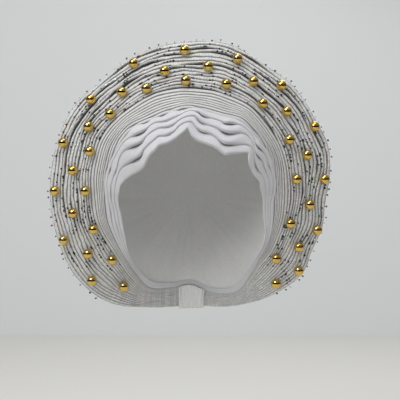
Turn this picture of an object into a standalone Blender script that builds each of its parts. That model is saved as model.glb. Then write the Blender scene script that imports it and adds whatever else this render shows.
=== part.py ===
# A tied gele head tie: four brow folds round the face, a wide fan of knife pleats set with
# forty beads, the crown that covers the head behind them, and a binding at the nape.
# Metres, +Z up, the front faces -Y. The origin is where the crown rests on top of the head.

from collections import namedtuple

import bmesh
import bpy
import numpy as np
from mathutils import Matrix, Vector

# The head that the crown is made to fit
HEAD_WIDTH = 0.150
HEAD_LENGTH = 0.184
HEAD_HEIGHT = 0.190
# The fan: its reach, how far its middle lies below the top of the head, and how far it leans back
FAN_RADIUS = 0.180
FAN_DROP = 0.110
FAN_LEAN = 0.065
# The cloth
CLOTH = 0.0016
GAP = 0.0004
FOLD_RISE = 0.0035
PLAIN_PLEATS = 9
PLAIN_RISE = 0.0011
BEADED_PLEATS = 13
BEADED_RISE = 0.0018
PLEAT_CREST = 0.3
# The beads, and the binding over the gathered ends
BEAD_DIAMETER = 0.011
BEAD_SIDES = 10
BEAD_RINGS = 4
BINDING_WIDTH = 0.028
BINDING_TOP = 0.12

# The mesh: places round the fan, the most of them over the brow
BROW_FROM = -76
BROW_TO = 72
BROW_STATIONS = 25
SIDE_STATIONS = 7
CROWN_ROWS = 6
BINDING_ROWS = 5
# Samples taken to find the widest place round the fan, and the highest pleat under a bead
WIDTH_SAMPLES = 73
SEAT_SAMPLES = 41
# Edges that turn by more than this, in radians, stay sharp
STEEP_EDGE = 0.6

# Half of the head's mean breadth and height, which the face opening follows
FACE_RADIUS = (HEAD_WIDTH + HEAD_HEIGHT) / 4

# The four brow folds. Angles are in degrees round the fan's middle, from the top, to the
# wearer's left as positive. The face edge and the folds' outer edge are shares of FACE_RADIUS,
# and the edges between the folds are shares of the way from the one to the other.
Brow = namedtuple("Brow", "angle face first second third fold")
BROW = [
    Brow(-166, 1.03, 0.25, 0.50, 0.75, 1.09),
    Brow(-151, 1.10, 0.25, 0.50, 0.75, 1.18),
    Brow(-140, 1.05, 0.25, 0.50, 0.75, 1.11),
    Brow(-128, 0.99, 0.25, 0.50, 0.75, 1.05),
    Brow(-115, 0.91, 0.25, 0.50, 0.75, 1.03),
    Brow(-95, 0.87, 0.23, 0.46, 0.73, 1.05),
    Brow(-74, 0.93, 0.24, 0.48, 0.73, 1.06),
    Brow(-62, 0.84, 0.48, 0.72, 0.87, 1.08),
    Brow(-50, 0.77, 0.39, 0.73, 0.88, 1.14),
    Brow(-38, 0.81, 0.25, 0.53, 0.79, 1.18),
    Brow(-25, 0.85, 0.30, 0.59, 0.80, 1.17),
    Brow(-13, 0.85, 0.25, 0.53, 0.74, 1.19),
    Brow(-2, 0.97, 0.29, 0.58, 0.83, 1.22),
    Brow(7, 0.82, 0.37, 0.66, 0.84, 1.19),
    Brow(18, 0.80, 0.32, 0.58, 0.84, 1.18),
    Brow(31, 0.78, 0.31, 0.69, 0.87, 1.21),
    Brow(38, 0.85, 0.46, 0.78, 0.92, 1.18),
    Brow(46, 0.96, 0.37, 0.61, 0.81, 1.15),
    Brow(57, 0.89, 0.27, 0.56, 0.80, 1.10),
    Brow(72, 0.91, 0.24, 0.48, 0.73, 1.04),
    Brow(94, 0.91, 0.25, 0.50, 0.75, 1.04),
    Brow(112, 1.00, 0.25, 0.50, 0.75, 1.07),
    Brow(130, 1.05, 0.25, 0.50, 0.75, 1.10),
    Brow(140, 1.11, 0.25, 0.50, 0.75, 1.17),
    Brow(150, 1.18, 0.25, 0.50, 0.75, 1.25),
    Brow(165, 1.11, 0.25, 0.50, 0.75, 1.17),
    Brow(180, 0.97, 0.25, 0.50, 0.75, 1.02),
]

# The fan. The rim is a share of FAN_RADIUS, and the edge where the beaded pleats start is a
# share of the way from the folds to the rim.
Fan = namedtuple("Fan", "angle plain rim")
FAN = [
    Fan(-157, 0.25, 0.68),
    Fan(-139, 0.20, 0.77),
    Fan(-122, 0.17, 0.81),
    Fan(-101, 0.23, 0.825),
    Fan(-82, 0.27, 0.855),
    Fan(-65, 0.33, 0.89),
    Fan(-49, 0.34, 0.93),
    Fan(-36, 0.34, 0.93),
    Fan(-19, 0.35, 0.975),
    Fan(0, 0.31, 1.0),
    Fan(12, 0.32, 1.01),
    Fan(29, 0.31, 0.965),
    Fan(38, 0.29, 0.96),
    Fan(54, 0.29, 0.92),
    Fan(66, 0.28, 0.905),
    Fan(76, 0.28, 0.86),
    Fan(87, 0.27, 0.81),
    Fan(98, 0.24, 0.80),
    Fan(109, 0.21, 0.775),
    Fan(118, 0.19, 0.785),
    Fan(134, 0.15, 0.74),
    Fan(154, 0.22, 0.68),
    Fan(180, 0.24, 0.62),
]

# How far back the cloth lies, the same to the left and right. The face edge is a share of half
# the head's length, and the other edges lie behind it by shares of FAN_LEAN.
Depth = namedtuple("Depth", "angle face fold plain rim")
DEPTH = [
    Depth(0, -0.76, 0.15, 0.54, 1.0),
    Depth(39, -0.73, 0.17, 0.52, 1.0),
    Depth(65, -0.50, 0.12, 0.34, 0.74),
    Depth(90, -0.22, 0.05, 0.13, 0.40),
    Depth(110, -0.06, 0.05, 0.12, 0.28),
    Depth(128, 0.14, 0.03, 0.08, 0.18),
    Depth(140, 0.38, 0.02, 0.05, 0.10),
    Depth(150, 0.57, 0.02, 0.03, 0.06),
    Depth(160, 0.69, 0.02, 0.03, 0.04),
    Depth(180, 0.77, 0.02, 0.03, 0.05),
]

# One brow fold from its lower hem outwards: share of its width, and share of FOLD_RISE
Section = namedtuple("Section", "across rise")
FOLD_FRONT = [
    Section(0.0, 0.1),
    Section(0.1, 0.75),
    Section(0.38, 1.0),
    Section(0.72, 0.6),
    Section(1.0, 0.05),
]
FOLD_BACK = [Section(1.0, 0.0), Section(0.45, 0.45), Section(0.0, 0.0)]

# Three rows of beads on the fan, each from the wearer's right round to the left: the angles, and
# how far each bead lies on the way from the beaded pleats' inner edge to the rim
Row = namedtuple("Row", "angles across")
BEAD_ROWS = [
    Row(
        [-125, -103, -82, -62, -42, -21, -2, 17, 36, 56, 77, 99, 119],
        [0.77, 0.83, 0.83, 0.77, 0.72, 0.77, 0.75, 0.72, 0.76, 0.83, 0.83, 0.83, 0.90],
    ),
    Row(
        [-137, -112.5, -91, -71, -50.5, -30, -10.5, 7, 26, 44, 64.5, 87, 108.5, 129.5],
        [0.37, 0.49, 0.46, 0.41, 0.35, 0.37, 0.38, 0.44, 0.47, 0.48, 0.47, 0.54, 0.58, 0.69],
    ),
    Row(
        [-121, -100.5, -79, -59, -39.5, -20, -2, 16, 34, 54, 73, 97, 118.5],
        [0.08, 0.07, 0.07, 0.06, 0.09, 0.10, 0.08, 0.15, 0.18, 0.21, 0.16, 0.12, 0.21],
    ),
]

# Materials: base colour, metallic, roughness
Finish = namedtuple("Finish", "colour metallic roughness")
BROW_CLOTH = Finish((0.70, 0.70, 0.78), 0.0, 0.75)
FAN_CLOTH = Finish((0.57, 0.57, 0.55), 0.0, 0.55)
GOLD = Finish((0.90, 0.58, 0.16), 1.0, 0.15)


def clear_scene():
    for thing in list(bpy.data.objects):
        bpy.data.objects.remove(thing, do_unlink=True)


def collection_for(name):
    found = bpy.data.collections.new(name)
    bpy.context.scene.collection.children.link(found)
    return found


def material_for(name, finish):
    material = bpy.data.materials.new(name)
    material.use_nodes = True
    shader = material.node_tree.nodes["Principled BSDF"]
    shader.inputs["Base Color"].default_value = (*finish.colour, 1.0)
    shader.inputs["Metallic"].default_value = finish.metallic
    shader.inputs["Roughness"].default_value = finish.roughness
    return material


def add_object(name, mesh, material, collection):
    mesh.materials.append(material)
    mesh.shade_smooth()
    mesh.set_sharp_from_angle(angle=STEEP_EDGE)
    made = bpy.data.objects.new(name, mesh)
    collection.objects.link(made)
    return made


def around(angles, rows, column):
    """A smooth closed curve through one column of a table, read at the angles in degrees."""
    at = np.array([row.angle for row in rows], float)
    value = np.array([getattr(row, column) for row in rows], float)
    at = np.concatenate([at - 360, at, at + 360])
    value = np.tile(value, 3)
    slope = np.gradient(value, at)
    angles = (np.asarray(angles, float) + 180) % 360 - 180
    right = np.clip(np.searchsorted(at, angles), 1, len(at) - 1)
    left = right - 1
    span = at[right] - at[left]
    t = (angles - at[left]) / span
    return (
        (2 * t**3 - 3 * t**2 + 1) * value[left]
        + (t**3 - 2 * t**2 + t) * span * slope[left]
        + (3 * t**2 - 2 * t**3) * value[right]
        + (t**3 - t**2) * span * slope[right]
    )


def both_sides(rows):
    """The same rows for the left and the right, from -180 up to 180 degrees."""
    mirrored = [row._replace(angle=-row.angle) for row in rows[1:-1]]
    return mirrored[::-1] + rows


def station_angles():
    """Places round the fan: even steps over the brow, and wider even steps round the nape."""
    brow = np.linspace(BROW_FROM, BROW_TO, BROW_STATIONS)
    right = np.linspace(BROW_TO, 180, SIDE_STATIONS + 2)[1:]
    left = np.linspace(BROW_FROM, -180, SIDE_STATIONS + 2)[1:-1]
    return np.concatenate([left[::-1], brow, right])


def edge_curves(angles):
    """Radius and depth of the four edges: the face, the folds, the plain pleats and the rim."""
    face = FACE_RADIUS * around(angles, BROW, "face")
    fold = FACE_RADIUS * around(angles, BROW, "fold")
    rim = FAN_RADIUS * around(angles, FAN, "rim")
    plain = fold + (rim - fold) * around(angles, FAN, "plain")
    rows = both_sides(DEPTH)
    face_depth = HEAD_LENGTH / 2 * around(angles, rows, "face")
    depths = [face_depth]
    for column in ("fold", "plain", "rim"):
        depths.append(face_depth + FAN_LEAN * around(angles, rows, column))
    return np.stack([face, fold, plain, rim], 1), np.stack(depths, 1)


def across_band(angles, places):
    """Points on the fan's smooth form and its forward normals.

    places holds, for each angle, numbers from 0 at the face edge to 3 at the rim, and each
    whole number is one of the four edges. A smooth curve runs through the edges.
    """
    radii, depths = edge_curves(angles)
    section = np.stack([radii, depths], 2)
    slopes = np.gradient(section, axis=1)
    left = np.clip(np.floor(places).astype(int), 0, 2)
    t = (places - left)[..., None]
    row = np.arange(len(angles))[:, None]
    a, b = section[row, left], section[row, left + 1]
    u, v = slopes[row, left], slopes[row, left + 1]
    at = (2 * t**3 - 3 * t**2 + 1) * a + (t**3 - 2 * t**2 + t) * u
    at = at + (3 * t**2 - 2 * t**3) * b + (t**3 - t**2) * v
    run = (6 * t**2 - 6 * t) * (a - b) + (3 * t**2 - 4 * t + 1) * u + (3 * t**2 - 2 * t) * v
    run = run / np.linalg.norm(run, axis=2, keepdims=True)
    turn = np.radians(angles)[:, None]
    outward = np.stack([np.sin(turn), 0 * turn, np.cos(turn)], 2)
    back = np.array([0.0, 1.0, 0.0])
    points = at[..., :1] * outward + at[..., 1:] * back - [0, 0, FAN_DROP]
    normals = run[..., 1:] * outward - run[..., :1] * back
    along = run[..., :1] * outward + run[..., 1:] * back
    return points, normals, along


def ring_mesh(name, rings):
    """A closed band: rings holds one closed section for each place round the fan."""
    count, size = rings.shape[:2]
    station, corner = np.meshgrid(np.arange(count), np.arange(size), indexing="ij")
    after, beside = (station + 1) % count, (corner + 1) % size
    faces = np.stack(
        [station * size + corner, after * size + corner, after * size + beside, station * size + beside],
        2,
    )
    mesh = bpy.data.meshes.new(name)
    mesh.from_pydata(rings.reshape(-1, 3).tolist(), [], faces.reshape(-1, 4).tolist())
    turn_outwards(mesh)
    return mesh


def turn_outwards(mesh):
    work = bmesh.new()
    work.from_mesh(mesh)
    bmesh.ops.recalc_face_normals(work, faces=work.faces)
    work.to_mesh(mesh)
    work.free()


def width_between(angles, inner, outer):
    """The band's width between two of its edges."""
    radii, depths = edge_curves(angles)
    return np.hypot(radii[:, outer] - radii[:, inner], depths[:, outer] - depths[:, inner])[:, None]


def narrowing(angles, inner, outer):
    """That width as a share of the greatest one round the fan. Folds and pleats flatten with it."""
    widest = width_between(np.linspace(-180, 180, WIDTH_SAMPLES), inner, outer).max()
    return np.minimum(width_between(angles, inner, outer) / widest, 1)


def fold_edges(angles):
    """Places of the five edges of the four brow folds, from 0 at the face to 1."""
    inner = [around(angles, BROW, column) for column in ("first", "second", "third")]
    return np.stack([0 * inner[0], *inner, 1 + 0 * inner[0]], 1)


def raised(angles, places, heights, shift=0.0):
    """Points at those places, raised along the normals and shifted along the section."""
    points, normals, along = across_band(angles, places)
    return points + heights[..., None] * normals + np.asarray(shift)[..., None] * along


def brow_fold(angles, number):
    """One fold: a wall that rises from its lower hem and runs back under the next fold."""
    edges = fold_edges(angles)
    low, high = edges[:, number], edges[:, number + 1]
    full = narrowing(angles, 0, 1)
    rings = []
    for sections, lift in ((FOLD_FRONT, 0.0), (FOLD_BACK, -CLOTH)):
        share = np.array([section.across for section in sections])
        rise = np.array([section.rise for section in sections])
        places = low[:, None] + (high - low)[:, None] * share
        heights = FOLD_RISE * full * rise + lift
        shift = GAP / 2 * (1 - 2 * share) + 0 * places
        rings.append(raised(angles, places, heights, shift))
    return np.concatenate(rings, 1)


def knife_pleats(pleats, rise):
    """Shares and lifts of the corners: each pleat rises steeply and falls slowly to the next."""
    steps = np.arange(pleats)
    share = np.concatenate([np.stack([steps, steps + PLEAT_CREST], 1).ravel(), [pleats]]) / pleats
    return share, np.concatenate([np.tile([0.0, rise], pleats), [0.0]])


def pleated_wall(angles, start, pleats, rise):
    """A wall of knife pleats with a plain back."""
    share, lift = knife_pleats(pleats, rise)
    back_share = np.arange(pleats, -1, -1) / pleats
    full = narrowing(angles, start, start + 1)
    rings = []
    for shares, heights in ((share, full * lift), (back_share, 0 * full - CLOTH)):
        places = start + shares + np.zeros((len(angles), 1))
        shift = GAP / 2 * (1 - 2 * shares) + 0 * places
        rings.append(raised(angles, places, heights + 0 * places, shift))
    return np.concatenate(rings, 1)


def head_radius(directions):
    """Distance from the head's middle to the crown's outside in those directions."""
    half = np.array([HEAD_WIDTH, HEAD_LENGTH, HEAD_HEIGHT]) / 2 + CLOTH
    return 1 / np.linalg.norm(directions / half, axis=-1, keepdims=True)


def crown_mesh(angles):
    """The crown: meridians from behind the brow folds over the head to its back.

    Each starts on the folds' back and comes to the head's own form as it runs on.
    """
    tuck = fold_edges(angles)[:, 2:3]
    middle = np.array([0, 0, -HEAD_HEIGHT / 2])
    # Towards the nape the wall's inner side turns to the folds, so the hem keeps clear by as much
    facing = (1 - np.cos(np.radians(angles)))[:, None] / 2
    hem = raised(angles, tuck, -CLOTH * (1 + facing) - GAP)[:, 0]
    start = hem - middle
    length = np.linalg.norm(start, axis=1, keepdims=True)
    start = start / length
    ease = length / head_radius(start) - 1
    pole = np.array([0.0, 1.0, 0.0])
    bend = np.arccos(np.clip(start @ pole, -1, 1))[:, None]
    rows = []
    for share in np.arange(CROWN_ROWS) / CROWN_ROWS:
        way = (np.sin((1 - share) * bend) * start + np.sin(share * bend) * pole) / np.sin(bend)
        rows.append(middle + way * head_radius(way) * (1 + ease * (1 - share) ** 3))
    tip = middle + pole * head_radius(pole[None])[0]
    count = len(angles)
    points = np.concatenate([*rows, [tip]])
    station = np.arange(count)
    after = (station + 1) % count
    faces = []
    for row in range(CROWN_ROWS - 1):
        low, high = row * count, (row + 1) * count
        faces += np.stack([low + station, low + after, high + after, high + station], 1).tolist()
    last = (CROWN_ROWS - 1) * count
    faces += np.stack([last + station, last + after, 0 * station + len(points) - 1], 1).tolist()
    mesh = bpy.data.meshes.new("crown_wrap")
    mesh.from_pydata(points.tolist(), [], faces)
    return mesh


def add_crown(angles, material, collection):
    crown = add_object("crown_wrap", crown_mesh(angles), material, collection)
    wall = crown.modifiers.new("wall", "SOLIDIFY")
    wall.thickness = CLOTH
    wall.offset = -1.0
    return crown


def on_facets(angles, wanted, make):
    """What make gives for single angles that lie between two places of the faceted band."""
    turns = np.concatenate([angles - 360, angles])
    made = []
    for angle in wanted:
        right = int(np.searchsorted(turns, angle))
        pair = turns[right - 1 : right + 1]
        t = (angle - pair[0]) / (pair[1] - pair[0])
        ends = make(pair)
        made.append((1 - t) * ends[0] + t * ends[1])
    return np.array(made)


def binding_ring(angles):
    """A strip folded over the rim of the gathered pleats, on their front and on their back."""
    clear = BEADED_RISE * narrowing(angles, 2, 3) + GAP
    run = np.linspace(1 + BINDING_TOP, 3, BINDING_ROWS)
    places = np.concatenate([run, run[::-1]]) + np.zeros((len(angles), 1))
    past_rim = (places == 3) * 1.0
    rings = []
    for grow in (0.0, CLOTH):
        heights = np.repeat([1.0, 0.0], BINDING_ROWS) * (clear + CLOTH + GAP + 2 * grow)
        heights = heights - CLOTH - GAP - grow
        ring = raised(angles, places, heights, past_rim * (GAP + grow))
        rings.append(ring if grow else ring[:, ::-1])
    return np.concatenate(rings, 1)


def binding_mesh(angles):
    """The binding with flat ends, its middle at the nape."""
    radii, _ = edge_curves(np.array([180.0]))
    reach = np.degrees(BINDING_WIDTH / 2 / radii[0, 3])
    rings = on_facets(angles, [-180 - reach, -180, -180 + reach], binding_ring)
    count, size = rings.shape[:2]
    faces = []
    for station in range(count - 1):
        for corner in range(size):
            beside = (corner + 1) % size
            low, high = station * size, (station + 1) * size
            faces.append([low + corner, high + corner, high + beside, low + beside])
    half = size // 2
    for station in (0, count - 1):
        for corner in range(half - 1):
            pair = [corner, corner + 1, size - 2 - corner, size - 1 - corner]
            faces.append([station * size + place for place in pair])
    mesh = bpy.data.meshes.new("nape_binding")
    mesh.from_pydata(rings.reshape(-1, 3).tolist(), [], faces)
    turn_outwards(mesh)
    return mesh


def bead_seat(angles, angle, across):
    """A bead's middle and the way it faces, resting on the pleats square over its facet."""
    radius = BEAD_DIAMETER / 2
    share, lift = knife_pleats(BEADED_PLEATS, BEADED_RISE)

    def middle_and_run(pair):
        beside = np.linspace(-radius, radius, SEAT_SAMPLES)
        near = across + beside / width_between(pair, 2, 3)
        under = np.interp(near, share, lift) * narrowing(pair, 2, 3)
        height = (under + np.sqrt(radius**2 - beside**2)).max(axis=1, keepdims=True)
        place = np.full((2, 1), 2 + across)
        points, _, along = across_band(pair, place)
        around_fan = np.tile(points[1] - points[0], (2, 1))
        return np.stack([points[:, 0], along[:, 0], around_fan, np.tile(height, (1, 3))], 1)

    point, along, around_fan, height = on_facets(angles, [angle], middle_and_run)[0]
    forward = np.cross(around_fan, along)
    forward = forward / np.linalg.norm(forward)
    return point + forward * (GAP + height[0]), forward


def add_beads(angles, material, collection):
    spots = [spot for row in BEAD_ROWS for spot in zip(row.angles, row.across)]
    for number, (angle, across) in enumerate(spots, 1):
        middle, forward = bead_seat(angles, angle, across)
        turn = Vector(forward).to_track_quat("Z", "Y").to_matrix().to_4x4()
        work = bmesh.new()
        bmesh.ops.create_uvsphere(
            work,
            u_segments=BEAD_SIDES,
            v_segments=BEAD_RINGS,
            radius=BEAD_DIAMETER / 2,
            matrix=Matrix.Translation(middle) @ turn,
        )
        name = f"bead_{number:02d}"
        mesh = bpy.data.meshes.new(name)
        work.to_mesh(mesh)
        work.free()
        add_object(name, mesh, material, collection)


def build():
    clear_scene()
    collection = collection_for("tied_gele_head_tie")
    brow_cloth = material_for("brow_cloth", BROW_CLOTH)
    fan_cloth = material_for("fan_cloth", FAN_CLOTH)
    gold = material_for("gold", GOLD)
    angles = station_angles()
    add_crown(angles, fan_cloth, collection)
    for number in range(4):
        name = f"brow_fold_{number + 1}"
        add_object(name, ring_mesh(name, brow_fold(angles, number)), brow_cloth, collection)
    plain = pleated_wall(angles, 1, PLAIN_PLEATS, PLAIN_RISE)
    add_object("plain_pleats", ring_mesh("plain_pleats", plain), fan_cloth, collection)
    beaded = pleated_wall(angles, 2, BEADED_PLEATS, BEADED_RISE)
    add_object("beaded_pleats", ring_mesh("beaded_pleats", beaded), fan_cloth, collection)
    add_object("nape_binding", binding_mesh(angles), fan_cloth, collection)
    add_beads(angles, gold, collection)


build()
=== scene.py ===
import math

import bpy
import numpy as np
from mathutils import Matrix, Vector


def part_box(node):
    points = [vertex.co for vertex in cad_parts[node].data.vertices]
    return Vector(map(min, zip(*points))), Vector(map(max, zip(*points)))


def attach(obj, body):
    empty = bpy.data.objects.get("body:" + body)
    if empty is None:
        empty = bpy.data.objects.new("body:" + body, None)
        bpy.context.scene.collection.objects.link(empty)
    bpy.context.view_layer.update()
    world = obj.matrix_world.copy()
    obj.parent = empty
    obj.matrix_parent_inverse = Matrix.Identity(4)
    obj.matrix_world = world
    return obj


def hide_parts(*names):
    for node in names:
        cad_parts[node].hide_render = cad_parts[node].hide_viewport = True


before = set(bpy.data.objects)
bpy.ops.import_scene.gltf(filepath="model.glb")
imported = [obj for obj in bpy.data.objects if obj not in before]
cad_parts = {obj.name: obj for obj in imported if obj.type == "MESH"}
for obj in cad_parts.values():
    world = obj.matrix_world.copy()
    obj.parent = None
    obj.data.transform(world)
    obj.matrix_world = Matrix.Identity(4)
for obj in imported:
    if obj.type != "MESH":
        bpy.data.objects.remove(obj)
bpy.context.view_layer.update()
print("frame loaded:", len(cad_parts), "nodes")

# Driving sizes in metres, the same as the frame's
head = {"width": 0.150, "length": 0.184, "height": 0.190, "wall": 0.0016}
fan = {"radius": 0.180, "drop": 0.110, "lean": 0.065}
stations = 600  # places round the fan
faceRadius = (head["width"] + head["height"]) / 4


def table(names, rows):
    # one array for each named column
    return dict(zip(names.split(), np.array(rows, float).T))


# Angles are in degrees round the fan's middle, from the top, with +X as positive. The columns
# face and fold are shares of faceRadius, first to third are shares of the way between them.
brow = table("angle face first second third fold", [
    (-166, 1.03, 0.25, 0.50, 0.75, 1.09), (-151, 1.10, 0.25, 0.50, 0.75, 1.18),
    (-140, 1.05, 0.25, 0.50, 0.75, 1.11), (-128, 0.99, 0.25, 0.50, 0.75, 1.05),
    (-115, 0.91, 0.25, 0.50, 0.75, 1.03), (-95, 0.87, 0.23, 0.46, 0.73, 1.05),
    (-74, 0.93, 0.24, 0.48, 0.73, 1.06), (-62, 0.84, 0.48, 0.72, 0.87, 1.08),
    (-50, 0.77, 0.39, 0.73, 0.88, 1.14), (-38, 0.81, 0.25, 0.53, 0.79, 1.18),
    (-25, 0.85, 0.30, 0.59, 0.80, 1.17), (-13, 0.85, 0.25, 0.53, 0.74, 1.19),
    (-2, 0.97, 0.29, 0.58, 0.83, 1.22), (7, 0.82, 0.37, 0.66, 0.84, 1.19),
    (18, 0.80, 0.32, 0.58, 0.84, 1.18), (31, 0.78, 0.31, 0.69, 0.87, 1.21),
    (38, 0.85, 0.46, 0.78, 0.92, 1.18), (46, 0.96, 0.37, 0.61, 0.81, 1.15),
    (57, 0.89, 0.27, 0.56, 0.80, 1.10), (72, 0.91, 0.24, 0.48, 0.73, 1.04),
    (94, 0.91, 0.25, 0.50, 0.75, 1.04), (112, 1.00, 0.25, 0.50, 0.75, 1.07),
    (130, 1.05, 0.25, 0.50, 0.75, 1.10), (140, 1.11, 0.25, 0.50, 0.75, 1.17),
    (150, 1.18, 0.25, 0.50, 0.75, 1.25), (165, 1.11, 0.25, 0.50, 0.75, 1.17),
    (180, 0.97, 0.25, 0.50, 0.75, 1.02),
])

# rim is a share of the fan's radius, plain a share of the way from the folds to the rim
fanEdge = table("angle plain rim", [
    (-157, 0.25, 0.68), (-139, 0.20, 0.77), (-122, 0.17, 0.81), (-101, 0.23, 0.825), (-82, 0.27, 0.855),
    (-65, 0.33, 0.89), (-49, 0.34, 0.93), (-36, 0.34, 0.93), (-19, 0.35, 0.975), (0, 0.31, 1.0),
    (12, 0.32, 1.01), (29, 0.31, 0.965), (38, 0.29, 0.96), (54, 0.29, 0.92), (66, 0.28, 0.905),
    (76, 0.28, 0.86), (87, 0.27, 0.81), (98, 0.24, 0.80), (109, 0.21, 0.775), (118, 0.19, 0.785),
    (134, 0.15, 0.74), (154, 0.22, 0.68), (180, 0.24, 0.62),
])

# How far back the cloth lies: face is a share of half the crown's length, the others are
# shares of the fan's lean behind it
depth = table("angle face fold plain rim", [
    (0, -0.76, 0.15, 0.54, 1.0), (39, -0.73, 0.17, 0.52, 1.0), (65, -0.50, 0.12, 0.34, 0.74),
    (90, -0.22, 0.05, 0.13, 0.40), (110, -0.06, 0.05, 0.12, 0.28), (128, 0.14, 0.03, 0.08, 0.18),
    (140, 0.38, 0.02, 0.05, 0.10), (150, 0.57, 0.02, 0.03, 0.06), (160, 0.69, 0.02, 0.03, 0.04),
    (180, 0.77, 0.02, 0.03, 0.05),
])


def mirrored(rows):
    # the rows of 0 to 180 degrees again for the other side
    return {name: np.concatenate([(-1 if name == "angle" else 1) * column[-2:0:-1], column])
            for name, column in rows.items()}


depth = mirrored(depth)


def hermite(t, a, b, u, v, span=1.0):
    # cubic Hermite curve from a to b, with the slopes u and v at its ends
    return ((2 * t**3 - 3 * t**2 + 1) * a + (t**3 - 2 * t**2 + t) * span * u
            + (3 * t**2 - 2 * t**3) * b + (t**3 - t**2) * span * v)


def around(angles, rows, name):
    # Hermite curve through one column, closed at 180 degrees
    at = np.concatenate([rows["angle"] + turn for turn in (-360, 0, 360)])
    value = np.tile(rows[name], 3)
    slope = np.gradient(value, at)
    angles = (np.asarray(angles, float) + 180) % 360 - 180
    right = np.clip(np.searchsorted(at, angles), 1, len(at) - 1)
    left = right - 1
    span = at[right] - at[left]
    t = (angles - at[left]) / span
    return hermite(t, value[left], value[right], slope[left], slope[right], span)


def edgeCurves(angles):
    # radius and depth of the inner edge, the folds' edge, the beaded pleats' edge and the rim
    face = faceRadius * around(angles, brow, "face")
    fold = faceRadius * around(angles, brow, "fold")
    rim = fan["radius"] * around(angles, fanEdge, "rim")
    plain = fold + (rim - fold) * around(angles, fanEdge, "plain")
    near = head["length"] / 2 * around(angles, depth, "face")
    behind = [near + fan["lean"] * around(angles, depth, name) for name in ("fold", "plain", "rim")]
    return np.stack([np.stack([face, fold, plain, rim], -1), np.stack([near, *behind], -1)], -1)


def bandAt(angles, places):
    # a Hermite curve across the four edges at each angle: place 0 is the inner edge, 3 the rim.
    # Gives points, normals that look forward, and the way outwards along the cloth.
    angles, places = np.broadcast_arrays(np.asarray(angles, float), np.asarray(places, float))
    section = edgeCurves(angles)
    slopes = np.gradient(section, axis=-2)
    left = np.clip(np.floor(places).astype(int), 0, 2)
    t = (places - left)[..., None]

    def pick(values, shift):
        return np.take_along_axis(values, (left + shift)[..., None, None], -2)[..., 0, :]

    a, b, u, v = pick(section, 0), pick(section, 1), pick(slopes, 0), pick(slopes, 1)
    at = hermite(t, a, b, u, v)
    run = (6 * t**2 - 6 * t) * (a - b) + (3 * t**2 - 4 * t + 1) * u + (3 * t**2 - 2 * t) * v
    run = run / np.linalg.norm(run, axis=-1, keepdims=True)
    turn = np.radians(angles)
    outward = np.stack([np.sin(turn), 0 * turn, np.cos(turn)], -1)
    back = np.array([0.0, 1.0, 0.0])
    points = at[..., :1] * outward + at[..., 1:] * back - [0, 0, fan["drop"]]
    normals = run[..., 1:] * outward - run[..., :1] * back
    return points, normals, run[..., :1] * outward + run[..., 1:] * back


def zoneWidth(angles, inner):
    # the cloth's width between two neighbouring edges
    edges = edgeCurves(angles)
    return np.linalg.norm(edges[..., inner + 1, :] - edges[..., inner, :], axis=-1)


def ripple(angles, seed, low, high, count=9):
    # sum of sines with whole numbers of waves round the fan, seeded sizes and phases, about 1 high
    random = np.random.default_rng(seed)
    waves = random.integers(low, high + 1, count)
    sizes = random.uniform(0.4, 1.0, count)
    phases = random.uniform(0, 2 * np.pi, count)
    total = np.sin(np.radians(np.asarray(angles)[..., None] * waves) + phases) @ sizes
    return total / np.sqrt((sizes**2).sum() / 2) / 1.8


def bump(angles, middle, spread):
    # a smooth bump of height 1 at one angle
    away = (np.asarray(angles) - middle + 180) % 360 - 180
    return np.exp(-(away / spread) ** 2)


def easeStep(values, low, high):
    # 0 below low and 1 above high, with the smooth cubic step between
    t = np.clip((values - low) / (high - low), 0, 1)
    return 3 * t**2 - 2 * t**3


def arch(start, bend, end, t):
    # quadratic Bezier curves from many starts to many ends
    return (1 - t) ** 2 * start[:, None] + 2 * t * (1 - t) * bend[:, None] + t**2 * end[:, None]


angles = np.arange(stations) * 360 / stations - 180


def liftAlong(rows, key, number):
    # the sum of the bumps in the rows of one edge
    lift, angle, spread = (rows[name][rows[key] == number] for name in ("lift", "angle", "spread"))
    return (lift * bump(angles[:, None], angle, spread)).sum(1)


def unit(v):
    return v / np.maximum(np.linalg.norm(v, axis=-1, keepdims=True), 1e-12)


def surfaceNormals(points, closed, towards):
    # across the two ways along the grid, turned to the same side as towards
    if closed:
        ahead = np.roll(points, -1, 0) - np.roll(points, 1, 0)
    else:
        ahead = np.gradient(points, axis=0)
    normals = unit(np.cross(ahead, np.gradient(points, axis=1)))
    return normals * np.sign((normals * towards).sum(-1, keepdims=True))


def addMesh(name, points, faces, uv=None, masks=None):
    # faces is a list of arrays, each with one number of corners
    mesh = bpy.data.meshes.new(name)
    loops = np.concatenate([f.ravel() for f in faces])
    sizes = np.concatenate([np.full(len(f), f.shape[1]) for f in faces])
    mesh.vertices.add(len(points))
    mesh.vertices.foreach_set("co", points.astype(np.float32).ravel())
    mesh.loops.add(len(loops))
    mesh.loops.foreach_set("vertex_index", loops.astype(np.int32))
    mesh.polygons.add(len(sizes))
    starts = np.concatenate([[0], np.cumsum(sizes)[:-1]])
    mesh.polygons.foreach_set("loop_start", starts.astype(np.int32))
    mesh.update(calc_edges=True)
    if uv is not None:
        layer = mesh.uv_layers.new(name="clothMap")
        layer.data.foreach_set("uv", uv.astype(np.float32).ravel())
    for key, values in (masks or {}).items():
        made = mesh.attributes.new(key, "FLOAT", "POINT")
        made.data.foreach_set("value", values.astype(np.float32).ravel())
    mesh.validate()
    mesh.shade_smooth()
    return mesh


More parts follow.
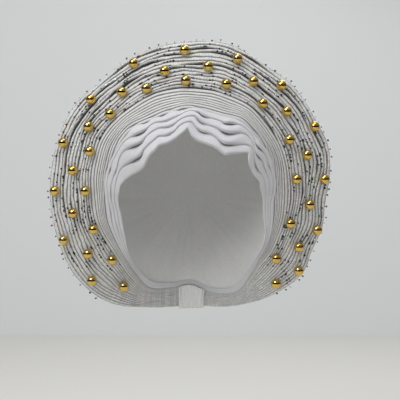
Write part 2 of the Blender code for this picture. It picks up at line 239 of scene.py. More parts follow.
def clothMap(front, poles):
    # places on the flat cloth in metres: along the middle row, and across each station. With poles
    # it is laid out as a disc, the distance from the pole and the share of the way round.
    count, size = front.shape[:2]
    middle = front[:, size // 2]
    step = np.linalg.norm(np.roll(middle, -1, 0) - middle, axis=1)
    along = np.concatenate([[0], np.cumsum(step)])
    across = np.linalg.norm(np.diff(front, axis=1), axis=2)
    across = np.concatenate([np.zeros((count, 1)), np.cumsum(across, 1)], 1)
    across = np.concatenate([across, across[:1]])
    if poles is None:
        return along, across, np.stack(np.broadcast_arrays(along[:, None], across), -1)
    turn = 2 * np.pi * along[:, None] / along[-1]
    radius = across[:, -1:] - across + np.linalg.norm(front[:, -1] - poles[0], axis=1).mean()
    return along, across, np.stack([radius * np.cos(turn), radius * np.sin(turn)], -1)


def shell(front, back, closed, masks, poles=None):
    # a wall between two grids, with its edges shut. The first way round the grid may be closed,
    # and the last row may then run together in two poles, the front's and the back's. Masks hold
    # the front's and the back's values.
    count, size = front.shape[:2]
    total = count * size
    last = count if closed else count - 1
    along, across, place = clothMap(front, poles)
    i, j = np.meshgrid(np.arange(last), np.arange(size - 1), indexing="ij")
    i, j = i.ravel(), j.ravel()
    corners = [(i, j), (i, j + 1), (i + 1, j + 1), (i + 1, j)]
    index = np.stack([(a % count) * size + b for a, b in corners], 1)
    mapped = np.stack([place[a, b] for a, b in corners], 1)
    faces, uv = [index, index[:, ::-1] + total], [mapped, mapped[:, ::-1]]
    i = np.arange(last)
    rims = [(i, 0 * i, i + 1, 0 * i)]
    if poles is None:
        rims.append((i + 1, 0 * i + size - 1, i, 0 * i + size - 1))
    else:
        i = np.arange(0, last, 2)
        ring = [((i + k) % count) * size + size - 1 for k in (2, 1, 0)]
        flat = np.stack([*(place[i + k, -1] for k in (2, 1, 0)), 0 * place[i, -1]], 1)
        faces.append(np.stack([*ring, 0 * i + 2 * total], 1))
        faces.append(np.stack([*[r + total for r in ring[::-1]], 0 * i + 2 * total + 1], 1))
        uv += [flat, flat[:, [2, 1, 0, 3]]]
    if not closed:
        j = np.arange(size - 1)
        rims += [(0 * j, j + 1, 0 * j, j), (0 * j + last, j, 0 * j + last, j + 1)]
    for a, b, c, d in rims:
        one, two = (a % count) * size + b, (c % count) * size + d
        faces.append(np.stack([one, two, two + total, one + total], 1))
        uv.append(np.stack([place[a, b], place[c, d], place[c, d], place[a, b]], 1))
    ends = [] if poles is None else [poles]
    points = np.concatenate([front.reshape(-1, 3), back.reshape(-1, 3), *ends])
    faces, uv = np.concatenate(faces), np.concatenate(uv)
    a, b, c, d = (points[faces[:, k]] for k in range(4))
    if (a * np.cross(b, c)).sum() + (a * np.cross(c, d)).sum() < 0:  # inside out
        faces, uv = faces[:, ::-1], uv[:, ::-1]
    extra = np.ones(0 if poles is None else 2)
    masks = {key: np.concatenate([*(np.broadcast_to(v, front.shape[:2]).ravel() for v in sides), extra])
             for key, sides in masks.items()}
    return {"points": points, "faces": faces, "uv": uv, "masks": masks,
            "widths": across[:count, -1], "long": along[last]}


def clothPiece(name, shells, material, replaced):
    # several strips of one cloth in one piece
    starts = np.cumsum([0] + [len(part["points"]) for part in shells])
    faces = np.concatenate([part["faces"] + start for part, start in zip(shells, starts)])
    points, uv = (np.concatenate([part[key] for part in shells]) for key in ("points", "uv"))
    masks = {key: np.concatenate([part["masks"][key] for part in shells]) for key in shells[0]["masks"]}
    mesh = addMesh(name, points, [faces], uv.reshape(-1, 2), masks)
    piece = addPiece(name, mesh, material, replaced)


def addPiece(name, mesh, material, replaced):
    mesh.materials.append(material)
    piece = bpy.data.objects.new(name, mesh)
    bpy.context.scene.collection.objects.link(piece)
    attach(piece, "root")
    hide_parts(*replaced)
    return piece


# Materials
def putValue(tree, target, value):
    # links another node's socket, or sets a plain value
    if isinstance(value, bpy.types.NodeSocket):
        tree.links.new(value, target)
    else:
        target.default_value = value


def addNode(tree, kind, inputs, **settings):
    # a node with its inputs given by name or number
    made = tree.nodes.new(kind)
    for key, value in settings.items():
        setattr(made, key, value)
    for key, value in inputs.items():
        putValue(tree, made.inputs[key], value)
    return made


def calculate(tree, operation, first, second=0.5):
    return addNode(tree, "ShaderNodeMath", {0: first, 1: second}, operation=operation).outputs[0]


def onVector(tree, operation, vector, **inputs):
    # Other is the second vector, Scale the factor
    inputs = {(1 if key == "Other" else key): value for key, value in inputs.items()}
    return addNode(tree, "ShaderNodeVectorMath", {0: vector, **inputs}, operation=operation).outputs[0]


def remap(tree, value, low=0.0, high=1.0, toLow=0.0, toHigh=1.0):
    return addNode(tree, "ShaderNodeMapRange", {0: value, 1: low, 2: high, 3: toLow, 4: toHigh}).outputs[0]


def noise(tree, where, scale, detail=2.0):
    # output 0 is the value, 1 the colour
    return addNode(tree, "ShaderNodeTexNoise", {"Vector": where, "Scale": scale, "Detail": detail}).outputs


def blend(tree, share, low, high):
    # from one colour to another by a share
    return addNode(tree, "ShaderNodeMix", {"Factor": share, 6: low, 7: high}, data_type="RGBA").outputs[2]


def bumpOf(tree, height, strength, distance, **more):
    inputs = {"Height": height, "Strength": strength, "Distance": distance, **more}
    return addNode(tree, "ShaderNodeBump", inputs).outputs[0]


def objectPlace(tree):
    return addNode(tree, "ShaderNodeTexCoord", {}).outputs["Object"]


def startGroup(name, inputs, outputName, outputKind):
    # inputs as names with a plain value, or None for a vector
    group = bpy.data.node_groups.new(name, "ShaderNodeTree")
    for key, value in inputs.items():
        kind = "Vector" if value is None else "Color" if isinstance(value, tuple) else "Float"
        made = group.interface.new_socket(key, in_out="INPUT", socket_type="NodeSocket" + kind)
        if value is not None:
            made.default_value = value
    group.interface.new_socket(outputName, in_out="OUTPUT", socket_type=outputKind)
    return group, group.nodes.new("NodeGroupInput").outputs, group.nodes.new("NodeGroupOutput").inputs[0]


def sineOf(group, turns):
    return calculate(group, "SINE", calculate(group, "MULTIPLY", turns, 2 * math.pi))


def ribGroup():
    # ridges across the pleats: a sine of the way along the cloth, with a little wander
    group, given, out = startGroup(
        "crossRibs", {"Map": None, "Ribs per metre": 1000.0, "Slant": 0.0, "Wander": 0.4},
        "Height", "NodeSocketFloat")
    split = addNode(group, "ShaderNodeSeparateXYZ", {0: given["Map"]}).outputs
    place = calculate(group, "ADD", split["X"], calculate(group, "MULTIPLY", split["Y"], given["Slant"]))
    turns = calculate(group, "MULTIPLY", place, given["Ribs per metre"])
    uneven = noise(group, given["Map"], clothTone["wander"])[0]
    wander = calculate(group, "MULTIPLY", uneven, given["Wander"])
    wave = sineOf(group, calculate(group, "ADD", turns, wander))
    putValue(group, out, remap(group, wave, -1.0, 1.0))
    return group


def threadGroup():
    # the fine plain weave: two sines across each other
    group, given, out = startGroup(
        "fineThreads", {"Map": None, "Threads per metre": 3000.0}, "Height", "NodeSocketFloat")
    split = addNode(group, "ShaderNodeSeparateXYZ", {0: given["Map"]}).outputs
    waves = [sineOf(group, calculate(group, "MULTIPLY", split[axis], given["Threads per metre"]))
             for axis in "XY"]
    putValue(group, out, remap(group, calculate(group, "MULTIPLY", *waves), -1.0, 1.0))
    return group


def toneGroup():
    # the cloth's colour: painted shade down in the grooves and between the ribs, with soft
    # patches, grey flecks, slubs along the threads and a faint change of hue
    group, given, out = startGroup(
        "clothTone", {
            "Colour": (0.6, 0.6, 0.6, 1.0), "Painted shade": 1.0, "Painted shade dark": 0.5, "Patches": 0.06,
            "Flecks": 0.0, "Rib": 0.5, "Rib painted shade": 0.08, "Tint": 0.0, "Map": None, "Slubs": 0.0},
        "Colour", "NodeSocketColor")
    where = objectPlace(group)
    patches = noise(group, where, clothTone["patches"], 3.0)[0]
    flecks = remap(group, noise(group, where, clothTone["flecks"])[0], *clothTone["fleckRange"])
    slubs = noise(group, onVector(group, "MULTIPLY", given["Map"], Other=clothTone["slubs"]), 1.0)[0]
    least = {key: calculate(group, "SUBTRACT", 1.0, given[key])
             for key in ("Patches", "Flecks", "Rib painted shade", "Slubs")}
    # painted shade from the mask, darkest where the mask is 0, then painted shade between the ribs and the
    # random patches, flecks and slubs
    shade = remap(group, given["Painted shade"], toLow=given["Painted shade dark"])
    for part in (
            remap(group, patches, *clothTone["patchRange"], 1.0, least["Patches"]),
            remap(group, flecks, toLow=1.0, toHigh=least["Flecks"]),
            remap(group, given["Rib"], toLow=least["Rib painted shade"]),
            remap(group, slubs, *clothTone["slubRange"], least["Slubs"])):
        shade = calculate(group, "MULTIPLY", shade, part)
    toned = onVector(group, "SCALE", given["Colour"], Scale=shade)
    hues = noise(group, where, clothTone["hues"], 1.0)[1]
    centred = onVector(group, "SUBTRACT", hues, Other=(0.5, 0.5, 0.5))
    faint = onVector(group, "SCALE", centred, Scale=given["Tint"])
    lifted = onVector(group, "ADD", faint, Other=(1.0, 1.0, 1.0))
    putValue(group, out, onVector(group, "MULTIPLY", toned, Other=lifted))
    return group


# waves a metre of what makes the cloth uneven, and the part of each noise that shows
clothTone = {"wander": 160.0, "patches": 38.0, "flecks": 620.0, "hues": 190.0, "slubs": (620.0, 260.0, 1.0),
             "patchRange": (0.3, 0.7), "fleckRange": (0.56, 0.70), "slubRange": (0.35, 0.62)}
groups = {"ribs": ribGroup(), "threads": threadGroup(), "tone": toneGroup()}


def placeGroup(tree, name, inputs):
    made = tree.nodes.new("ShaderNodeGroup")
    made.node_tree = groups[name]
    for key, value in inputs.items():
        putValue(tree, made.inputs[key], value)
    return made.outputs[0]


def startMaterial(name, inputs):
    material = bpy.data.materials.new(name)
    material.use_nodes = True
    shader = material.node_tree.nodes["Principled BSDF"]
    for key, value in inputs.items():
        shader.inputs[key].default_value = value
    return material, material.node_tree, shader.inputs


def clothMaterial(name, look):
    material, tree, shader = startMaterial(name, {
        "Roughness": look["roughness"], "Sheen Weight": look["sheen"],
        "Sheen Roughness": look["sheenRoughness"], "Specular IOR Level": look["specular"]})
    mapped = addNode(tree, "ShaderNodeUVMap", {}, uv_map="clothMap").outputs[0]
    # the painted shade mask that each cloth piece carries in its points
    paintedShade = addNode(tree, "ShaderNodeAttribute", {}, attribute_name="paintedShade").outputs["Fac"]
    ribs = placeGroup(tree, "ribs", {
        "Map": mapped, "Ribs per metre": look["ribs"], "Slant": look["slant"], "Wander": look["wander"]})
    threads = placeGroup(tree, "threads", {"Map": mapped, "Threads per metre": look["threads"]})
    tone = placeGroup(tree, "tone", {
        "Painted shade": paintedShade, "Rib": ribs, "Map": mapped, "Colour": (*look["colour"], 1.0),
        "Painted shade dark": look["paintedShadeDark"], "Patches": look["patches"], "Flecks": look["flecks"],
        "Rib painted shade": look["ribPaintedShade"], "Tint": look["tint"], "Slubs": look["slubs"]})
    putValue(tree, shader["Base Color"], tone)
    fine = bumpOf(tree, threads, look["threadBump"], look["threadHeight"])
    putValue(tree, shader["Normal"], bumpOf(tree, ribs, look["ribBump"], look["ribHeight"], Normal=fine))
    return material


# ribs and threads are so many a metre, their heights are in metres, and the painted shade values are
# what is left of the colour down in the grooves and between the ribs
fanLook = {
    "colour": (0.70, 0.70, 0.695), "roughness": 0.55, "sheen": 0.2, "sheenRoughness": 0.4, "specular": 0.3,
    "ribs": 900.0, "slant": 0.0, "wander": 0.35, "ribBump": 0.5, "ribHeight": 0.0004, "ribPaintedShade": 0.14,
    "threads": 3200.0, "threadBump": 0.25, "threadHeight": 0.0002,
    "paintedShadeDark": 0.18, "patches": 0.06, "flecks": 0.0, "slubs": 0.12, "tint": 0.05,
}
beadedLook = {
    **fanLook, "colour": (0.785, 0.785, 0.77), "paintedShadeDark": 0.18, "patches": 0.10, "flecks": 0.22,
    "slubs": 0.26, "tint": 0.25,
}
browLook = {
    **fanLook, "colour": (0.625, 0.625, 0.65), "roughness": 0.8, "sheen": 0.1, "specular": 0.2,
    "ribs": 1100.0, "slant": 1.2, "ribBump": 0.35, "ribPaintedShade": 0.06, "paintedShadeDark": 0.70, "patches": 0.04,
    "slubs": 0.05, "tint": 0.03,
}
crownLook = {
    **fanLook, "colour": (0.64, 0.64, 0.635), "paintedShadeDark": 0.7, "patches": 0.03, "ribBump": 0.25,
    "ribPaintedShade": 0.05, "slubs": 0.06,
}
cloth = {name: clothMaterial(name, look) for name, look in (
    ("fanCloth", fanLook), ("beadedCloth", beadedLook), ("browCloth", browLook), ("crownCloth", crownLook))}


goldLook = {"low": (0.58, 0.39, 0.09), "high": (0.75, 0.54, 0.18), "wear": 420.0, "smooth": 0.02,
            "worn": 0.08, "dents": 0.09, "dentDepth": 0.0002}


def goldMaterial():
    # uneven by a fine wear, which changes the colour, the gloss and the surface together
    material, tree, shader = startMaterial("polishedGold", {"Metallic": 1.0})
    wear = noise(tree, objectPlace(tree), goldLook["wear"], 4.0)[0]
    shade = blend(tree, wear, (*goldLook["low"], 1.0), (*goldLook["high"], 1.0))
    putValue(tree, shader["Base Color"], shade)
    putValue(tree, shader["Roughness"], remap(tree, wear, toLow=goldLook["smooth"], toHigh=goldLook["worn"]))
    putValue(tree, shader["Normal"], bumpOf(tree, wear, goldLook["dents"], goldLook["dentDepth"]))
    return material


stoneLooks = {
    "dark": {"low": (0.002, 0.002, 0.003), "high": (0.02, 0.02, 0.025), "roughness": 0.3, "metallic": 0.0,
             "coat": 0.0},
    "clear": {"low": (0.30, 0.31, 0.34), "high": (0.70, 0.71, 0.75), "roughness": 0.2, "metallic": 0.4,
              "coat": 0.8},
    "amber": {"low": (0.50, 0.30, 0.08), "high": (0.75, 0.52, 0.20), "roughness": 0.15, "metallic": 0.6,
              "coat": 1.0},
}
stoneWear = {"coatRoughness": 0.05, "scratches": 3000.0, "strength": 0.04, "depth": 0.0001}


def stoneMaterial(name, look):
    # each stone reads its own tone, so that no two look alike
    material, tree, shader = startMaterial(name, {
        "Metallic": look["metallic"], "Roughness": look["roughness"], "Coat Weight": look["coat"],
        "Coat Roughness": stoneWear["coatRoughness"]})
    own = addNode(tree, "ShaderNodeAttribute", {}, attribute_name="tone").outputs["Fac"]
    putValue(tree, shader["Base Color"], blend(tree, own, (*look["low"], 1.0), (*look["high"], 1.0)))
    scratches = noise(tree, objectPlace(tree), stoneWear["scratches"])[0]
    putValue(tree, shader["Normal"], bumpOf(tree, scratches, stoneWear["strength"], stoneWear["depth"]))
    return material


gold = goldMaterial()
stoneFinish = {key: stoneMaterial(key + "Stone", look) for key, look in stoneLooks.items()}
print("materials made")


# The beads' places come from the frame. Each bead holds the cloth down under it.
bead = {"radius": 0.0055, "hole": 0.0009, "lip": 1.25, "sides": 32, "rings": 22, "press": 0.75,
        "pressWidth": 0.0075}
beadNames = sorted(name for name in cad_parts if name.startswith("bead_"))
beadBoxes = [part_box(name) for name in beadNames]
beadMiddles = np.array([(low + high) / 2 for low, high in beadBoxes])


def pressed(points):
    # 1 away from the beads, and less under each
    away = np.linalg.norm(points[..., None, :] - beadMiddles, axis=-1).min(-1)
    return 1 - bead["press"] * np.exp(-(away / bead["pressWidth"]) ** 2)


def wall(points, normals, thickness, taper):
    # the back of the wall lies behind the front by the thickness, thinner where taper is less
    return points - normals * (thickness * np.broadcast_to(taper, points.shape[:2]))[..., None]


# The brow folds
browFold = {
    "rise": 0.0036, "wall": 0.0014, "seed": 20, "wrinkle": 0.00025, "wrinkleWaves": (14, 60),
    "wrinkleTo": 1.2, "viewDistance": 1.080, "tried": (-0.3, 1.6, 96), "seenTo": 72, "ownFrom": 92,
    "placeRange": (-0.3, 1.5),
    # a fold narrower than this share of the band is lower too, down to the least share
    "fullWidth": 0.25, "leastWidth": 0.45, "leastRise": 0.3, "leastWall": 0.35,
    # how far a fold sinks under a hem that stands off by fullLift
    "sink": 0.0022, "fullLift": 0.0026,
    # shares of the way across: where the lift fades, the sink grows, and the painted shade of the next
    # hem and of its pocket falls, then how much each painted shade darkens the colour
    "lifted": (0.1, 0.8), "sunken": (0.45, 0.9), "hemShade": (0.86, 1.0), "pocketShade": (0.6, 0.95),
    "hemDark": (0.8, 0.8, 0.8, 0.2), "pocketDark": 0.25,
    # across is a share of the fold's width and goes on under the next fold; rise is a share of rise
    "section": table("across rise wall", [
        (0.04, 0.10, 0.4), (0.00, 0.40, 1.0), (0.02, 0.70, 1.3), (0.06, 0.88, 1.3), (0.12, 0.97, 1.1),
        (0.20, 1.00, 1.0), (0.30, 1.00, 1.0), (0.42, 0.97, 1.0), (0.54, 0.92, 1.0), (0.66, 0.84, 1.0),
        (0.76, 0.74, 1.0), (0.85, 0.60, 1.0), (0.93, 0.40, 1.0), (1.00, 0.15, 1.0), (1.08, -0.10, 0.8),
        (1.20, -0.36, 0.4),
    ]),
    # the outer fold rolls over at its outer edge and lies on the pleats
    "outerEnd": table("across rise wall", [
        (0.76, 0.92, 1.0), (0.86, 0.84, 1.0), (0.94, 0.72, 1.0), (0.985, 0.52, 1.0), (1.00, 0.28, 0.8),
        (0.96, 0.02, 0.3),
    ]),
    # each hem's radius as seen from the front, in mm at one metre: the inner edge, the three
    # hems between the folds, and the hem of the outer fold on the pleats
    "seen": table("angle face first second third fold", [
        (-80, 71.3, 77.0, 81.8, 85.4, 87.6), (-75, 73.2, 78.0, 82.6, 86.8, 89.2),
        (-72, 73.6, 78.7, 82.9, 87.7, 90.3), (-68, 72.6, 79.4, 83.1, 88.8, 91.4),
        (-64, 70.5, 80.0, 83.4, 89.5, 92.2), (-60, 68.2, 80.3, 84.2, 90.8, 93.0),
        (-57, 66.2, 79.6, 85.4, 91.4, 93.6), (-54, 64.4, 77.9, 87.2, 92.0, 94.4),
        (-50, 63.0, 75.6, 88.2, 93.0, 95.5), (-47, 62.9, 74.2, 87.8, 94.0, 96.1),
        (-44, 63.9, 73.3, 86.3, 94.5, 96.6), (-41, 65.5, 73.8, 84.6, 94.2, 97.3),
        (-38, 66.8, 75.4, 83.4, 93.1, 98.4), (-35, 67.8, 76.3, 83.3, 91.7, 99.7),
        (-32, 68.5, 77.0, 84.6, 90.8, 99.0), (-29, 69.6, 77.7, 85.8, 91.2, 96.9),
        (-26, 70.9, 78.8, 86.5, 92.7, 96.4), (-23, 70.8, 79.7, 87.0, 93.4, 97.8),
        (-20, 70.3, 78.5, 87.0, 92.9, 97.9), (-17, 70.4, 78.1, 86.0, 92.1, 96.7),
        (-14, 71.4, 78.7, 85.7, 92.0, 97.6), (-11, 73.0, 80.2, 86.6, 92.7, 99.5),
        (-8, 75.2, 83.8, 89.2, 94.0, 99.3), (-5, 77.9, 86.3, 91.4, 95.9, 99.0),
        (-3, 79.9, 87.4, 92.6, 97.6, 100.0), (-1.6, 81.4, 87.8, 93.1, 98.4, 100.7),
        (-0.4, 78.8, 87.9, 93.4, 98.9, 101.2), (1, 74.8, 87.6, 93.6, 98.9, 101.5),
        (3, 72.2, 85.0, 93.6, 98.5, 101.6), (5, 70.3, 81.9, 91.0, 97.8, 101.2),
        (7.5, 68.9, 79.8, 88.1, 95.2, 100.0), (10, 68.3, 78.9, 87.0, 94.0, 99.0),
        (14, 67.9, 78.6, 86.2, 93.6, 98.7), (18, 67.5, 77.7, 85.8, 93.5, 98.5),
        (22, 66.9, 75.9, 85.1, 93.2, 99.4), (25, 66.4, 74.8, 85.1, 95.2, 100.5),
        (28, 65.8, 74.6, 86.6, 96.9, 100.9), (30, 65.4, 75.9, 88.4, 98.0, 101.1),
        (32.5, 65.5, 77.8, 91.1, 98.3, 101.1), (35, 68.0, 79.9, 92.9, 98.0, 100.4),
        (38, 71.6, 82.8, 93.5, 97.1, 99.5), (41, 75.3, 86.1, 92.5, 96.2, 98.5),
        (44, 79.5, 87.3, 90.9, 93.8, 97.4), (45.5, 81.2, 87.0, 89.7, 92.6, 97.0),
        (47, 79.6, 86.3, 88.4, 92.0, 96.8), (50, 75.6, 83.9, 86.3, 92.4, 96.6),
        (53, 73.5, 80.8, 86.3, 92.9, 97.0), (56, 72.5, 79.0, 86.8, 91.7, 96.0),
        (60, 71.9, 78.5, 85.2, 90.1, 94.6), (64, 72.9, 79.5, 84.6, 89.3, 92.6),
        (68.5, 74.3, 79.5, 83.9, 88.2, 91.0), (72, 73.0, 78.8, 83.2, 87.2, 90.0),
        (76, 72.5, 77.9, 82.2, 85.9, 88.6), (80, 72.4, 77.2, 81.2, 84.6, 87.0),
    ]),
    # where the hem over a fold stands off and shades it, by real shadow and by painted shade: hem, angle,
    # spread in degrees, lift
    "pockets": table("hem angle spread lift", [
        (1, -46, 6, 0.0026), (1, -16, 5, 0.0010), (1, 9, 5, 0.0018), (1, 28.5, 6, 0.0024),
        (1, 57.5, 4, 0.0020), (2, -39.5, 5, 0.0026), (2, -14, 5, 0.0010), (2, 7, 4, 0.0018),
        (2, 25, 5, 0.0024), (2, 52, 3, 0.0020), (2, 61, 3, 0.0010), (2, -79, 4, 0.0014),
        (2, -63, 3, 0.0010), (3, -33, 4.5, 0.0026), (3, -16, 4, 0.0012), (3, 7.0, 3.5, 0.0036),
        (3, 24.5, 3.5, 0.0026), (3, 47.5, 3, 0.0024), (3, -64, 2.5, 0.0022), (3, -93, 5, 0.0014),
        (2, -105, 5, 0.0012), (3, 78, 4, 0.0012), (3, 61, 3, 0.0010),
    ]),
}


def placesSeen(names):
    # the places whose points the camera sees at the given radii: radius over distance, inverted
    # by counting along a row of places
    tried = np.linspace(*browFold["tried"])
    points = bandAt(angles[:, None], tried)[0]
    radius = np.hypot(points[..., 0], points[..., 2] + fan["drop"])
    seen = 1000 * radius / (browFold["viewDistance"] + points[..., 1])
    found = []
    for name in names:
        wanted = around(angles, browFold["seen"], name)[:, None]
        left = np.clip((seen < wanted).sum(1) - 1, 0, len(tried) - 2)[:, None]
        low, high = (np.take_along_axis(seen, left + k, 1) for k in (0, 1))
        share = np.clip((wanted - low) / (high - low), 0, 1)
        found.append((tried[left] + share * (tried[1] - tried[0]))[:, 0])
    return np.stack(found)


def hemPlaces():
    # the hems as seen in front, and the frame's own at the sides and behind
    between = [around(angles, brow, name) for name in ("first", "second", "third")]
    own = np.stack([0 * angles, *between, 0 * angles + 1])
    seen = placesSeen(("face", "first", "second", "third", "fold"))
    return seen + (own - seen) * easeStep(np.abs(angles), browFold["seenTo"], browFold["ownFrom"])


def browFolds():
    # each fold's section is carried round its band: rounded at its hem, sinking under the next
    edges = hemPlaces()
    width = zoneWidth(angles, 0)
    full = np.minimum(width / width.max(), 1)[:, None]
    rows = browFold["section"]
    keep = len(rows["across"]) - len(browFold["outerEnd"]["across"])
    outer = {key: np.concatenate([rows[key][:keep], end]) for key, end in browFold["outerEnd"].items()}
    for number, section in enumerate((rows, rows, rows, outer)):
        across, rise = section["across"], section["rise"]
        low, high = edges[number][:, None], edges[number + 1][:, None]
        places = low + (high - low) * across
        narrow = np.clip((high - low) / browFold["fullWidth"], browFold["leastWidth"], 1)
        narrow = narrow * np.maximum(full, browFold["leastRise"])
        lift, above = (liftAlong(browFold["pockets"], "hem", hem)[:, None] for hem in (number, number + 1))
        over = above / browFold["fullLift"]
        grown = lift * (1 - easeStep(across, *browFold["lifted"]))
        sunk = browFold["sink"] * over * easeStep(across, *browFold["sunken"])
        waves = ripple(angles, browFold["seed"] + number, *browFold["wrinkleWaves"])[:, None]
        wrinkle = browFold["wrinkle"] * waves * np.clip(browFold["wrinkleTo"] - across, 0, 1)
        heights = (browFold["rise"] * rise + wrinkle + grown - sunk) * narrow
        points, normals, _ = bandAt(angles[:, None], np.clip(places, *browFold["placeRange"]))
        front = points + heights[..., None] * normals
        facing = surfaceNormals(front, True, normals)
        taper = section["wall"] * np.maximum(full, browFold["leastWall"])
        back = wall(front, facing, browFold["wall"], taper)
        # painted shade: darker just under the next hem, and more in its pocket where that hem stands off
        shade = (1 - easeStep(across, *browFold["hemShade"]) * browFold["hemDark"][number]
                 - browFold["pocketDark"] * np.minimum(over, 1) * easeStep(across, *browFold["pocketShade"]))
        fold = shell(front, back, True, {"paintedShade": (np.clip(shade, 0, 1), 1.0)})
        clothPiece(f"brow_cloth_{number + 1}", [fold], cloth["browCloth"], [f"brow_fold_{number + 1}"])
    print("brow folds made")


browFolds()


# The pleats of the fan
# closed is how far the tail behind has come up to the next pleat's back
pleatSection = table("across rise wall closed", [
    (0.08, -0.30, 0.4, 0), (0.00, 0.05, 1.0, 0), (0.00, 0.50, 1.2, 0), (0.06, 0.88, 1.2, 0),
    (0.20, 1.00, 1.0, 0), (0.42, 1.00, 1.0, 0), (0.62, 0.84, 1.0, 0), (0.80, 0.48, 1.0, 0),
    (0.91, 0.08, 1.0, 0), (1.00, -0.35, 0.9, 0), (1.16, -0.50, 0.8, 0), (1.34, 0.20, 0.5, 1),
])
# What both kinds of pleat share. Heights fall with the zone's width by the power taper, hollow is how
# far a pleat sinks under an edge that stands off by fullLift, and a pair is where an effect runs
# from and to across the pleat, or the lowest and highest number of waves round the fan.
pleatForm = {
    "wall": 0.0007, "taper": 0.6, "leastWall": 0.35, "hollow": 0.0010, "fullLift": 0.003,
    "lifted": (0.1, 0.9), "hollowed": (0.6, 0.95), "followed": 0.8, "tailGap": 1.3,
    # from deepWaves to edgeShade: the painted shade of the lines by the next edge, the slits, the backs and
    # the step under each edge
    "deepWaves": (6, 34), "deepSway": 0.45, "leastDeep": 0.1, "lineDark": 0.9, "lineTo": 0.95,
    "slitDark": 0.48, "slitShade": (0.55, 0.85), "behindDark": 0.55, "behindShade": (0.30, 0.60),
    "edgeTo": 0.05, "edgeShade": (0.0, 0.8), "flutterWaves": (8, 44), "swayWaves": (4, 13),
    "counterWaves": (5, 16), "ownWaves": (5, 26), "fineWaves": (40, 90), "rimFlat": 0.8, "rimLeast": -0.0004,
    "placeRange": (0.3, 3.2), "stoneRow": 2, "stoneTurn": 0.3,
}
plainPleat = {
    "count": 9, "seed": 300, "rise": 0.0017, "sway": 0.10, "own": 0.07, "flutter": 0.0002, "fine": 0.02,
    # deep sets how strong the painted shade line by the next edge is, and lineFrom where across it starts
    "deep": 1.0, "lineFrom": 0.66,
    # the first pleats hide under the outer brow fold, more so at the sides, and the very first
    # runs on behind the folds
    "under": 0.10, "underMore": 0.27, "besideFrom": (45, 80), "besideTo": (125, 160), "calm": 7.0,
    "innerEnd": (0.48, 0.45, 0.45), "dive": 0.0024, "diveFrom": 0.02, "diveTo": 0.14,
    # where a pleat's free edge stands off and leaves a dark slit, partly real shadow and partly painted shade
    "slits": table("edge angle spread lift", [
        (4, -55, 10, 0.0010), (3, -36, 8, 0.0006), (2, 40, 10, 0.0010), (4, 52, 10, 0.0008),
        (6, 62, 9, 0.0010), (1, 58, 8, 0.0006),
    ]),
}
beadedPleat = {
    "count": 13, "seed": 700, "rise": 0.0018, "sway": 0.26, "own": 0.20, "flutter": 0.0006, "fine": 0.07,
    # deep sets how strong the painted shade line by the next edge is, and lineFrom where across it starts
    "deep": 0.45, "lineFrom": 0.76,
    # where a pleat's free edge stands off and leaves a dark slit, partly real shadow and partly painted shade
    "slits": table("edge angle spread lift", [
        (0, -47, 8, 0.0010), (0, -12, 14, 0.0014), (0, 3, 5, 0.0016), (0, 30, 5, 0.0014),
        (0, 42, 8, 0.0034), (1, 84, 9, 0.0020), (1, 110, 9, 0.0024), (1, -6, 5, 0.0012),
        (1, 126, 6, 0.0020), (2, -93, 8, 0.0022), (2, 58, 6, 0.0016), (3, -47, 4, 0.0012),
        (3, -33, 4, 0.0014), (3, -15, 5, 0.0016), (3, 22, 6, 0.0014), (3, 31, 5, 0.0026),
        (3, 40, 6, 0.0018), (3, 51, 6, 0.0024), (5, -97, 6, 0.0016), (5, -88, 5, 0.0018),
        (5, -68, 5, 0.0018), (5, -56, 4, 0.0020), (5, 82, 5, 0.0024), (5, 104, 5, 0.0016),
        (6, -115, 6, 0.0018), (6, -49, 6, 0.0034), (6, -15, 6, 0.0022), (6, -6, 4, 0.0016),
        (6, 2, 4, 0.0018), (6, 52, 4, 0.0020), (6, 70, 5, 0.0026), (6, 88, 6, 0.0022),
        (7, -97, 5, 0.0016), (7, -89, 4, 0.0018), (7, -44, 5, 0.0030), (7, -31, 6, 0.0032),
        (7, -25, 4, 0.0026), (7, 3, 5, 0.0026), (7, 13, 6, 0.0020), (7, 22, 4, 0.0020),
        (7, 31, 6, 0.0034), (7, 41, 5, 0.0030), (7, 61, 5, 0.0022), (8, -118, 5, 0.0016),
        (8, 112, 6, 0.0018), (9, -88, 5, 0.0020), (9, -68, 8, 0.0024), (9, -54, 7, 0.0030),
        (9, -44, 6, 0.0026), (9, -26, 6, 0.0022), (9, -16, 6, 0.0030), (9, 70, 4, 0.0020),
        (9, 104, 5, 0.0016), (10, -36, 6, 0.0026), (10, -6, 5, 0.0026), (10, 13, 6, 0.0022),
        (10, 31, 6, 0.0024), (10, 42, 6, 0.0022), (10, 50, 5, 0.0018), (10, 82, 6, 0.0018),
        (11, 3, 5, 0.0026), (11, 60, 5, 0.0024), (11, 41, 5, 0.0018), (12, -27, 4, 0.0022),
        (12, -15, 5, 0.0016), (12, 22, 5, 0.0026), (12, 70, 5, 0.0018), (12, 93, 8, 0.0018),
    ]),
}


